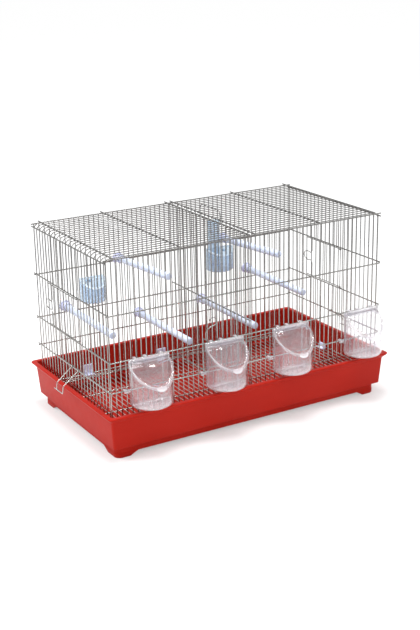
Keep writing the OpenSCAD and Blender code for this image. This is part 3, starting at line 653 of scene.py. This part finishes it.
# ---- Side doors ----
def side_door(side):
    """A leaf of upright wires on two rails. Its free edge bulges out in an open oval for a finger,
    (y + 14 (1 + cos a), z + 9 sin a)."""
    hinge_y, edge_y = SIDE_WIRES[DOOR_HINGE], SIDE_WIRES[DOOR_EDGE]
    rail_x, leaf_x, gap, past_oval = SIDE_X + 2.5, SIDE_X + 4.2, 1.8, 12
    heights = np.array([RAILS_Z[1] + RAIL_LIFT + RAIL + gap, RAILS_Z[0] + RAIL_LIFT - RAIL - gap])
    low, high = heights + [-PAST_RAIL, PAST_RAIL]
    flip = np.array([side, 1, 1])
    mesh = Mesh()
    ends = [xyz(rail_x, y, heights) * flip for y in (hinge_y + 1.5, edge_y + 16)]
    mesh.add(*straight(*ends, WIRE))
    uprights(mesh, side * leaf_x, SIDE_WIRES[DOOR_HINGE + 1:DOOR_EDGE], low, high)
    middle = heights.mean()
    a = np.radians(np.linspace(125, -125, 25))
    pull = np.stack([edge_y + 14 * (1 + np.cos(a)), middle + 9 * np.sin(a)], 1)
    path = np.concatenate([[[edge_y, high], [edge_y, middle + past_oval]], pull,
                           [[edge_y, middle - past_oval], [edge_y, low]]])
    mesh.add(*swept(rounded(in_plane(path, 0, leaf_x), 1.6, 4) * flip, (1, 0, 0), WIRE, FINE))
    for z in heights:
        eye = in_plane(arc((SIDE_X, hinge_y), 1.95, 0, 345, 23), 2, z)
        mesh.add(*swept(eye * flip, (0, 0, 1), EYE_WIRE, COARSE, closed=True))
    return mesh


for side, door in ((1, "side_door_right"), (-1, "side_door_left")):
    side_door(side).piece(f"{door}_wires", door, METAL, [door], "zinc_wire")


# ---- Shutter behind the second feeder ----
def shutter():
    """Upright wires on two rails that slide on a front wire at each side; the left edge wire runs
    up outside the cage and ends in a pigtail hook."""
    rail_y, comb_y, hook_y = -143.9, -142.2, -151.2
    rail_half, edge, guide_wire = 37.2, 36.0, 0.65
    heights = np.array([RAILS_Z[2] + 6, RAILS_Z[1] - 6])
    low, high = heights + [-PAST_RAIL, PAST_RAIL]
    mesh = Mesh()
    rails = [xyz(SHUTTER_X + half, rail_y, heights) for half in (-rail_half, rail_half)]
    mesh.add(*straight(*rails, WIRE))
    uprights(mesh, SHUTTER_X + np.array([-20, -10, 0, 10, 20, edge]), comb_y, low, high)
    x, z = SHUTTER_X - edge, RAILS_Z[1] + 7
    mesh.add(*swept(rounded([(x, comb_y, low), (x, comb_y, z), (x, hook_y, z)], 2.0), (1, 0, 0), WIRE))
    stem = [(x, z - 0.6), (x, z + 14), (x + 2.5, z + 18), (x + 8, z + 21.5)]
    pigtail = np.concatenate([stem, arc((x + 15, z + 31), 7.5, -85, 160, 20)])
    mesh.add(*swept(rounded(in_plane(pigtail, 1, hook_y), 2.0, 4), (0, 1, 0), WIRE))
    for guide_x in (SHUTTER_X - HATCH_HALF, SHUTTER_X + HATCH_HALF):
        for guide_z in heights:
            guide = in_plane(arc((guide_x, -HALF_D), 1.55, 20, 160, 12), 2, guide_z)
            mesh.add(*swept(guide, (0, 0, 1), guide_wire, COARSE))
    return mesh


shutter().piece("feeder_shutter_wires", "feeder_shutter", METAL, ["feeder_shutter"], "zinc_wire")


# ---- Bail latches ----
def bail(side):
    """Two arms that hang from eyes on the lower side rail and are joined by a foot."""
    rail_x, rail_z, middle_y, half = SIDE_X + RAIL_OFF, RAILS_Z[2] + RAIL_LIFT, -12.0, 13
    flip = np.array([side, 1, 1])
    arm = [rail_x, rail_z] + np.array([(2.0, -1.2), (31, -23), (32.5, -36.5)])
    near, far = in_plane(arm, 1, middle_y - half), in_plane(arm, 1, middle_y + half)
    foot_x, foot_z = arm[-1]
    mesh = Mesh()
    loop = np.concatenate([near, [(foot_x, middle_y, foot_z)], far[::-1]])
    mesh.add(*swept(rounded(loop, 3.0) * flip, None, WIRE))
    tail = [xyz(foot_x, middle_y + end, foot_z) * flip for end in (10, 23)]
    mesh.add(*straight(*tail, WIRE))
    for y in (middle_y - half, middle_y + half):
        eye = in_plane(arc((rail_x, rail_z), 2.15, 0, 345, 23), 1, y)
        mesh.add(*swept(eye * flip, (0, 1, 0), EYE_WIRE, COARSE, closed=True))
    return mesh


for side, latch in ((1, "bail_right"), (-1, "bail_left")):
    bail(side).piece(f"{latch}_wire", latch, METAL, [latch], "zinc_wire")


# ---- Feeders ----
# A feeder's own origin is the middle of its back at its base: (x, CUP_Y, CUP_Z) in the cage
CUP_Y, CUP_Z = -150.2, 90.0
CUP_R, CUP_STRAIGHT, CUP_WALL = 38.0, 8.0, 1.8  # round front, straight sides behind it, and wall
CUP_TOP, CUP_LIP, RIDGE_Z = 82.5, 42.0, 30.0    # heights of the back, the front lip and the ridge
SLOPE = (CUP_TOP - CUP_LIP) / (CUP_STRAIGHT + CUP_R)
HINGE_Y, HINGE_Z, EAR = -4.8, 84.5, 3.0         # the lid's pin, and the thickness of the ears
BEHIND_RAIL, LEG, HOOK_HALF = 3.3, 1.6, 2.5     # the hooks' legs, their thickness, half their width
TOP_HOOK = (80.6, 85.7, 87.4)                   # heights of leg tip, underside over the rail, and top
LOW_HOOK = (RIDGE_Z - 2, RIDGE_Z + 1.6, RIDGE_Z + 3.4)
FITTINGS_THICK = 0.4        # how solid hooks, ears and the lid's barrel look


def feeder_rim(x, y):
    """Height of the cup's rim: a slope down to the front lip, and low across the open back."""
    at_back = (np.abs(x) < CUP_R - 3.2) & (y > -3.0)
    return np.where(at_back, RIDGE_Z + 1.8, CUP_TOP + y * SLOPE)


def feeder_cup(x):
    """The cup with its ridge round the front, which doesn't go round the back."""
    z, edge, wall = RIDGE_Z, RIDGE_Z + 1.4, CUP_WALL
    cup = vessel(CUP_R, CUP_STRAIGHT, wall, 9.0,
                 [(0, z - 1.6, 0), (0, z - 1.2, 0), (-0.6, z - 0.6, 0), (-0.6, z + 0.6, 0),
                  (0, z + 1.2, 0), (0, z + 1.6, 0), (0, edge, 0.93), (0, edge, 0.97), (0.4, edge, 1.0),
                  (wall - 0.4, edge, 1.0), (wall, edge, 0.97), (wall, edge, 0.93), (wall, z, 0)],
                 feeder_rim)
    thick = [0.3, 0.45, 0.6, 0.4, 0.1, 0, 0, 0.2, 0.2, 0, 0, 0, 0.6, 0.8, 0.8, 0.6, 0, 0,
             0.1, 0.3, 0.4, 0.3, 0.3]
    return Mesh().add(*moved(capped(cup), x), np.repeat(thick, cup.shape[1]))


def hook(face, foot, tip, under, top):
    """Section of a hook: a plate from y = face to 0 above z = foot, and a leg down to z = tip that
    hangs behind the rail; the rail lies below z = under."""
    leg_end = BEHIND_RAIL + LEG
    return [(face, foot), (0, foot), (0, under), (BEHIND_RAIL, under), (BEHIND_RAIL, tip),
            (leg_end, tip), (leg_end, top), (face, top)]


def round_pin(profile, x, cols=24):
    """A profile turned round the line of the lid's pin, with its start at x."""
    return turned(profile, (x, CUP_Y + HINGE_Y, CUP_Z + HINGE_Z), (1, 0, 0), cols)


def feeder_fittings(x):
    """Hooks over the rails, hinge ears, the bar across the back and the rib down the front."""
    front_y = -CUP_STRAIGHT - CUP_R
    parts = [((-CUP_R + 1.5, -2.2, CUP_TOP - 8), (CUP_R - 1.5, -0.1, CUP_TOP - 2.2)),
             ((-1.2, front_y - 1.1, 8.5), (1.2, front_y + 1.0, RIDGE_Z - 0.5)),
             ((-43.0, -2.9, RIDGE_Z - 2.9), (-CUP_R + 1, -0.1, RIDGE_Z + 2.9))]
    for side in (-1, 1):
        middle, half = side * (CUP_R - EAR / 2), EAR / 2 - 0.15
        parts.append(((middle - half, HINGE_Y - 2.3, CUP_TOP - 12), (middle + half, -0.1, HINGE_Z)))
    mesh = Mesh().add(*moved(boxes(*parts), x), FITTINGS_THICK)
    top_hook, low_hook = hook(-1.3, CUP_TOP - 4, *TOP_HOOK), hook(-3, RIDGE_Z - 3, *LOW_HOOK)
    for section, middle in ((top_hook, -25), (top_hook, -5), (top_hook, 25), (low_hook, -45)):
        mesh.add(*moved(prism(section, middle - HOOK_HALF, middle + HOOK_HALF), x), FITTINGS_THICK)
    for side in (-1, 1):
        low = x + side * (CUP_R - EAR / 2) - EAR / 2
        mesh.add(*round_pin([(0, 0.2), (0, 2.3), (EAR, 2.3), (EAR, 0.2)], low), 0.5)
    return mesh


def moved(surface, x):
    """A surface drawn round a feeder's own origin, put in its place along the front."""
    points, faces = surface
    return points + [x, CUP_Y, CUP_Z], faces


LID_R, TAB_R, TAB_REACH = 39.9, 14.0, 3.45      # the lid's round front, its tab and the tab's reach


def lid_outline(steps=60):
    """The lid from above: a half circle in front, a straight back and a corner cut out at each ear."""
    a = np.radians(np.linspace(-3.4, -176.6, steps + 1))
    front_half = np.stack([LID_R * np.cos(a), -CUP_STRAIGHT + LID_R * np.sin(a)], 1)
    corner = np.array([(32.6, -2.0), (33.6, -2.3), (34.0, -3.2), (34.0, -7.9), (34.3, -8.5),
                       (35.0, -8.8), (38.4, -8.8), (39.3, -9.2)])
    return np.concatenate([corner, front_half, corner[::-1] * [-1, 1]])[::-1]


def feeder_lid(x):
    """A lid that lies on the sloping rim: a skirt, a round raised border with a thumb tab, and inside
    it a dome whose height over the slope is k (1 - (s / 0.9)^2), s running from the middle outwards.

    The tab is the part of a circle of radius TAB_R that passes the outline: at the angle p from the
    front it reaches d cos p + sqrt(TAB_R^2 - (d sin p)^2) from the middle of the half circle, where d
    is the distance between the two circles' middles.
    """
    crown, skirt_low, top, skirt = 4.6, -2.6, 2.5, 1.6
    outline = lid_outline()
    middle = np.array([0.0, -20.0])
    apart = LID_R + TAB_REACH - TAB_R
    p = np.arctan2(outline[:, 0], -(outline[:, 1] + CUP_STRAIGHT))
    chord = np.sqrt(np.maximum(TAB_R ** 2 - (apart * np.sin(p)) ** 2, 0))
    tab = np.where(np.abs(p) < 0.5, np.maximum(apart * np.cos(p) + chord - LID_R, 0), 0)

    def ring(share, lift, inset=0.0, tongue=0.0):
        """The outline drawn in to a share of itself and by `inset`, and lifted above the slope."""
        away = outline - middle
        flat = middle + away * share + unit(away) * (tongue * tab - inset)[:, None]
        return np.column_stack([flat, CUP_TOP + flat[:, 1] * SLOPE + lift])

    # Lift above the slope, inset, share of the tab and thickness
    border = [(skirt_low + 0.3, skirt - 0.2, 0, 0.6), (skirt_low, skirt / 2, 0, 0.8),
              (skirt_low + 0.4, 0.1, 0, 0.5), (-0.4, 0, 0, 0.1), (-1.0, 0, 0.93, 0.7),
              (-0.6, 0, 1.0, 0.9), (1.6, 0, 1.0, 0.9), (2.1, 0, 0.86, 0.7), (2.3, 0.25, 0, 0.6),
              (2.4, 0.8, 0, 0.6),
              (2.2, 1.1, 0, 0.2), (1.7, 1.4, 0, 0), (1.7, 2.5, 0, 0),
              (2.3, 2.8, 0, 0.5), (2.4, 3.3, 0, 0.5), (2.1, 3.7, 0, 0.1), (1.9, 4.4, 0, 0)]
    shares = np.array([0.86, 0.8, 0.7, 0.6, 0.48, 0.36, 0.24, 0.12, 0.02])
    dome = top + crown * (1 - (shares / 0.9) ** 2)
    cover = [ring(1, lift, inset, tongue) for lift, inset, tongue, _ in border]
    cover += [ring(share, lift) for share, lift in zip(shares, dome)]
    under = [ring(share, lift - 1.9) for share, lift in zip(shares[::-1], dome[::-1])]
    under += [ring(1, 0.3, 4.0), ring(1, 0.3, skirt)]
    rows, cols = len(cover) + len(under), len(outline)
    thick = np.zeros((rows, cols))
    thick[:len(border)] = np.outer([row[3] for row in border], 0.28 + 0.72 * np.clip(tab / 1.5, 0, 1))
    here, ahead = np.arange(cols), (np.arange(cols) + 1) % cols
    close = np.stack([(rows - 1) * cols + here, (rows - 1) * cols + ahead, ahead, here], 1)
    faces = [quads(len(cover), cols), quads(len(under), cols) + len(cover) * cols, close,
             ((len(cover) - 1) * cols + here)[None], (len(cover) * cols + here)[::-1][None]]
    mesh = Mesh().add(*moved((np.concatenate(cover + under), faces), x), thick.ravel())
    half, pin = CUP_R - EAR - 0.3, 2.6
    long, tip = 2 * half, 2 * half + pin
    barrel = [(0, 0.2), (0, 1.8), (0.5, 2.2), (long - 0.5, 2.2), (long, 1.8), (long, 0.2)]
    pins = [(-pin, 0.2), (-pin, 1.0), (0.3 - pin, 1.25), (tip - 0.3, 1.25), (tip, 1.0), (tip, 0.2)]
    mesh.add(*round_pin(barrel, x - half), FITTINGS_THICK)
    mesh.add(*round_pin(pins, x - half, 16))
    web_foot = CUP_TOP + HINGE_Y * SLOPE + 1
    mesh.add(*moved(boxes(((-half, HINGE_Y - 0.7, web_foot), (half, HINGE_Y + 0.7, HINGE_Z - 1))), x))
    return mesh


for number, centre_x in enumerate(FEEDERS_X, 1):
    feeder_cup(centre_x).piece(f"feeder_cup_{number}_shell", "cage", CLEAR, [f"feeder_cup_{number}"],
                               "clear_plastic", sharp=50)
    feeder_fittings(centre_x).piece(f"feeder_cup_{number}_hooks", "cage", CLEAR, [], "clear_plastic",
                                    bevel=0.3)
    feeder_lid(centre_x).piece(f"feeder_lid_{number}_cover", f"feeder_lid_{number}", CLEAR,
                               [f"feeder_lid_{number}"], "clear_plastic", sharp=60)


# ---- Perches and their collars ----
# Place across the cage, height at the back wires, upward tilt in degrees
PERCHES = ((-115, 263, 3.7), (-229, 188, 0), (-75, 146, 0), (66, 149, 0), (119.5, 266, 3.7),
           (175, 195, 0))
CLIP_Y = 145.2
TUBE_R, TUBE_LEN = 6.5, 200.0


def along_perch(profile, x, z, tilt, cols=40):
    """A profile turned round the axis of a perch, which starts at the back wires and rises by tilt."""
    t = math.radians(tilt)
    return turned(profile, (x, CLIP_Y, z), (0, -math.cos(t), math.sin(t)), cols)


def perch(x, z, tilt):
    """A tube with a round-edged closed front end and a bore open at the back."""
    first, last = 3.7, 3.7 + TUBE_LEN
    profile = [(last - 3, 0.2), (last - 3, TUBE_R - 1.4), (first, TUBE_R - 1.3), (first, TUBE_R - 0.3),
               (first + 0.3, TUBE_R), (last - 1.3, TUBE_R), (last - 0.4, TUBE_R - 0.4),
               (last, TUBE_R - 1.3), (last, 0.2)]
    return along_perch(profile, x, z, tilt)


def collar(x, z, tilt):
    """The socket that takes the tube, with a thicker lip."""
    profile = [(2.1, 0.2), (2.1, 7.8), (2.5, 8.1), (11.6, 8.1), (12.2, 8.5), (14.6, 8.5), (15.1, 8.1),
               (15.1, 7.0), (14.8, 6.7), (3.3, 6.7), (3.3, 0.2)]
    return along_perch(profile, x, z, tilt)


def crescents():
    """Crescent plates: the outer circle's arc and the bite's arc joined at the horns, made 3 thick."""
    outline = np.concatenate([arc((0, 0), 11, -51.5, 231.5, 36), arc((0, -16), 10, 132, 48, 10)])
    points, faces = prism(outline, CLIP_Y - 3.0, CLIP_Y, axis=1)
    mesh = Mesh()
    for x, z, _ in PERCHES:
        mesh.add(points + [x, 0, z], [f[:, ::-1] for f in faces])
    return mesh


def lug(x, z, h=5.0):
    """Lug through the gap between two wires of the back wall that holds x, with a bar behind them."""
    middle, behind = (math.floor(x / PITCH) + 0.5) * PITCH, HALF_D + SEAT + 0.3
    low, high = z - h / 2, z + h / 2
    return [((middle - 3.7, CLIP_Y - 0.5, low + 0.3), (middle + 3.7, behind + 0.8, high - 0.3)),
            ((middle - 7, behind, low), (middle + 7, behind + 1.6, high))]


for number, place in enumerate(PERCHES, 1):
    Mesh().add(*perch(*place)).piece(f"perch_tube_{number}_moulding", "cage", PERCH,
                                     [f"perch_tube_{number}"], "perch_plastic", sharp=50)
    Mesh().add(*collar(*place)).piece(f"perch_collar_{number}_socket", "cage", COLLAR,
                                      [f"perch_collar_{number}"], "collar_plastic", sharp=50)
crescents().piece("perch_collar_plates", "cage", COLLAR, [], "collar_plastic", bevel=0.5)
Mesh().add(*boxes(*[block for x, z, _ in PERCHES for block in lug(x, z)])).piece(
    "perch_collar_lugs", "cage", COLLAR, [], "collar_plastic", bevel=0.4)


# ---- Hopper and cup on the back wires ----
def open_cup(x, z, radius, straight_part, lip, top):
    """A D-shaped cup whose rim slopes from its back wall down to its front lip, with a rolled edge."""
    slope = (top - lip) / (straight_part + radius)
    cup = vessel(radius, straight_part, CUP_WALL, 6.0,
                 [(0, 6.5, 0.88), (0, 6.5, 0.90), (-0.9, 6.5, 0.93), (-1.0, 6.5, 0.98), (-0.5, 6.5, 1.0),
                  (CUP_WALL - 0.6, 6.5, 1.0), (CUP_WALL, 6.5, 0.98), (CUP_WALL, 6.5, 0.85)],
                 lambda px, py: np.minimum(top + py * slope, top - 4.0))
    thick = [0.3] * 5 + [0, 0.2, 0.8, 1, 1, 1, 0.8, 0] + [0.2] * 5
    points, faces = capped(cup)
    return points + [x, CLIP_Y, z], faces, np.repeat(thick, cup.shape[1])


def hopper_tank(x=95.0, low=212.0, top=309.0):
    """A tall D that is closed at its top and open at its mouth in the trough."""
    tank = vessel(12, 6, CUP_WALL, 5.0,
                  [(0, 6, 0.5), (0, 6, 1.0), (CUP_WALL, 6, 1.0), (CUP_WALL, 6, 0.5)],
                  lambda px, py: np.full_like(px, top - low))
    tank[:, :, 2] = top - tank[:, :, 2]
    tank[:, :, 1] -= 2.2
    points, faces = capped(tank)
    return points + [x, CLIP_Y, 0], [f[:, ::-1] for f in faces]


Mesh().add(*open_cup(109, 204, 29, 4, 36, 50)).piece(
    "hopper_trough_shell", "cage", BLUE, ["hopper_trough"], "blue_plastic", sharp=50)
Mesh().add(*open_cup(-173, 189, 24.5, 9, 32, 51)).piece(
    "bath_cup_shell", "cage", BLUE, ["bath_cup"], "blue_plastic", sharp=50)
Mesh().add(*hopper_tank()).piece(
    "hopper_tank_shell", "cage", BLUE, ["hopper_tank"], "blue_plastic", sharp=50)
tank_block = ((91.5, CLIP_Y - 2.5, 280.0), (98.5, CLIP_Y - 0.2, 284.0))
Mesh().add(*boxes(*lug(124, 240), *lug(-173, 227), *lug(95, 282), tank_block)).piece(
    "back_wall_lugs", "cage", BLUE, [], "blue_plastic", bevel=0.4)


# ---- Clips on the edge of the grille ----
def clip(plate):
    """A saddle: an upright tab of the given height, a foot that lies on the wires and two short webs."""
    low = GRILLE_Z + SEAT + 0.1
    section = [(-10, low), (0, low), (0, low + plate), (-3, low + plate), (-3, low + 2.5),
               (-10, low + 2.5)]
    webs = [((x, -6, low + 2), (x + 2, -2, low + 9)) for x in (-7, 5)]
    return [prism(section, -10, 10), boxes(*webs)]


clips = Mesh()
for points, faces in clip(21.0):
    clips.add(points + [-191, 140.5, 0], faces)
    clips.add(points + [-31, 140.5, 0], faces)
for points, faces in clip(10.0):
    clips.add(points[:, [1, 0, 2]] * [1, -1, 1] + [274, 12, 0], faces)
clips.piece("grille_clip_saddles", "cage", COLLAR, ["grille_clips"], "collar_plastic", bevel=0.5)


# ---- Floor, light and camera ----
def by_eye(tree, off, on):
    """A value that is `on` for what is seen, straight on, through clear walls or in a shiny surface,
    and `off` for the light that it gives."""
    path, level = add_nodes(tree, "LightPath", "MapRange")
    seen = path.outputs["Is Camera Ray"]
    for ray in ("Is Transmission Ray", "Is Glossy Ray"):
        either, = add_nodes(tree, "Math")
        either.operation = "MAXIMUM"
        tree.links.new(seen, either.inputs[0])
        tree.links.new(path.outputs[ray], either.inputs[1])
        seen = either.outputs["Value"]
    set_inputs(level, To_Min=off, To_Max=on)
    tree.links.new(seen, level.inputs["Value"])
    return level.outputs["Result"]


def studio():
    """A white floor that reaches past the horizon and still takes the shadow, and a white world.

    The floor near the cage is lit by the lamps, so it glows less there than far away.
    """
    size, near, far = 40.0, 0.3, 2.5
    mesh = bpy.data.meshes.new("floor")
    corners = [(-size, -size, 0), (size, -size, 0), (size, size, 0), (-size, size, 0)]
    mesh.from_pydata(corners, [], [(0, 1, 2, 3)])
    put("floor", mesh)
    made = bpy.data.materials.new("pale_floor")
    made.use_nodes = True
    tree, links = made.node_tree, made.node_tree.links
    shader = tree.nodes["Principled BSDF"]
    set_inputs(shader, Roughness=0.9, Specular_IOR_Level=0.0, Emission_Color=(1, 1, 1, 1))
    links.new(by_eye(tree, 0.80, 0.52), shader.inputs["Base Color"])
    place, away, glow, total = add_nodes(tree, "TexCoord", "VectorMath", "MapRange", "Math")
    away.operation, total.operation = "LENGTH", "MULTIPLY"
    set_inputs(glow, From_Min=near, From_Max=far, To_Min=0.42, To_Max=0.62)
    links.new(place.outputs["Object"], away.inputs[0])
    links.new(away.outputs["Value"], glow.inputs["Value"])
    links.new(glow.outputs["Result"], total.inputs[0])
    links.new(by_eye(tree, 0.0, 1.0), total.inputs[1])
    links.new(total.outputs["Value"], shader.inputs["Emission Strength"])
    mesh.materials.append(made)

    world = bpy.data.worlds.new("studio")
    bpy.context.scene.world = world
    world.use_nodes = True
    backdrop = world.node_tree.nodes["Background"]
    set_inputs(backdrop, Color=(1, 1, 1, 1))
    world.node_tree.links.new(by_eye(world.node_tree, 0.72, 1.0), backdrop.inputs["Strength"])


def lamp(name, place, aim, size, power):
    """A square soft lamp at a place, turned towards a point, both in metres."""
    data = bpy.data.lights.new(name, "AREA")
    data.size, data.energy = size, power
    thing = put(name, data)
    thing.location = place
    thing.rotation_euler = (Vector(aim) - Vector(place)).to_track_quat("-Z", "Y").to_euler()


def camera(place, right, up, ahead, lens):
    """The camera at a place in metres, turned so that its picture has the given three directions."""
    data = bpy.data.cameras.new("photo_camera")
    data.lens, data.sensor_width = lens, 36.0
    thing = put("photo_camera", data)
    bpy.context.scene.camera = thing
    rows = [[right[i], up[i], -ahead[i], place[i]] for i in range(3)]
    thing.matrix_world = Matrix(rows + [[0, 0, 0, 1]])


studio()
lamp("key_above_left", (-1.9, 0.3, 1.9), (0, 0, 0.15), 1.1, 33)
lamp("straight_above", (0.0, -0.1, 2.3), (0, 0, 0.1), 0.9, 46)
lamp("fill_front", (-0.9, -2.2, 1.5), (0, 0, 0.15), 1.6, 2)
lamp("fill_right", (1.8, -1.4, 1.2), (0, 0, 0.15), 1.5, 4.5)
lamp("glint_front", (-0.5, -1.6, 1.5), (0, -0.15, 0.15), 0.14, 2.5)
lamp("glint_above", (0.5, -0.5, 1.7), (0, -0.15, 0.15), 0.14, 2.0)
camera((-1.0882, -1.8350, 0.8894), (0.85829, -0.51284, -0.01830), (0.17860, 0.26508, 0.94754),
       (0.48108, 0.81653, -0.31911), 68.83)
bpy.context.scene.view_settings.view_transform = "Standard"
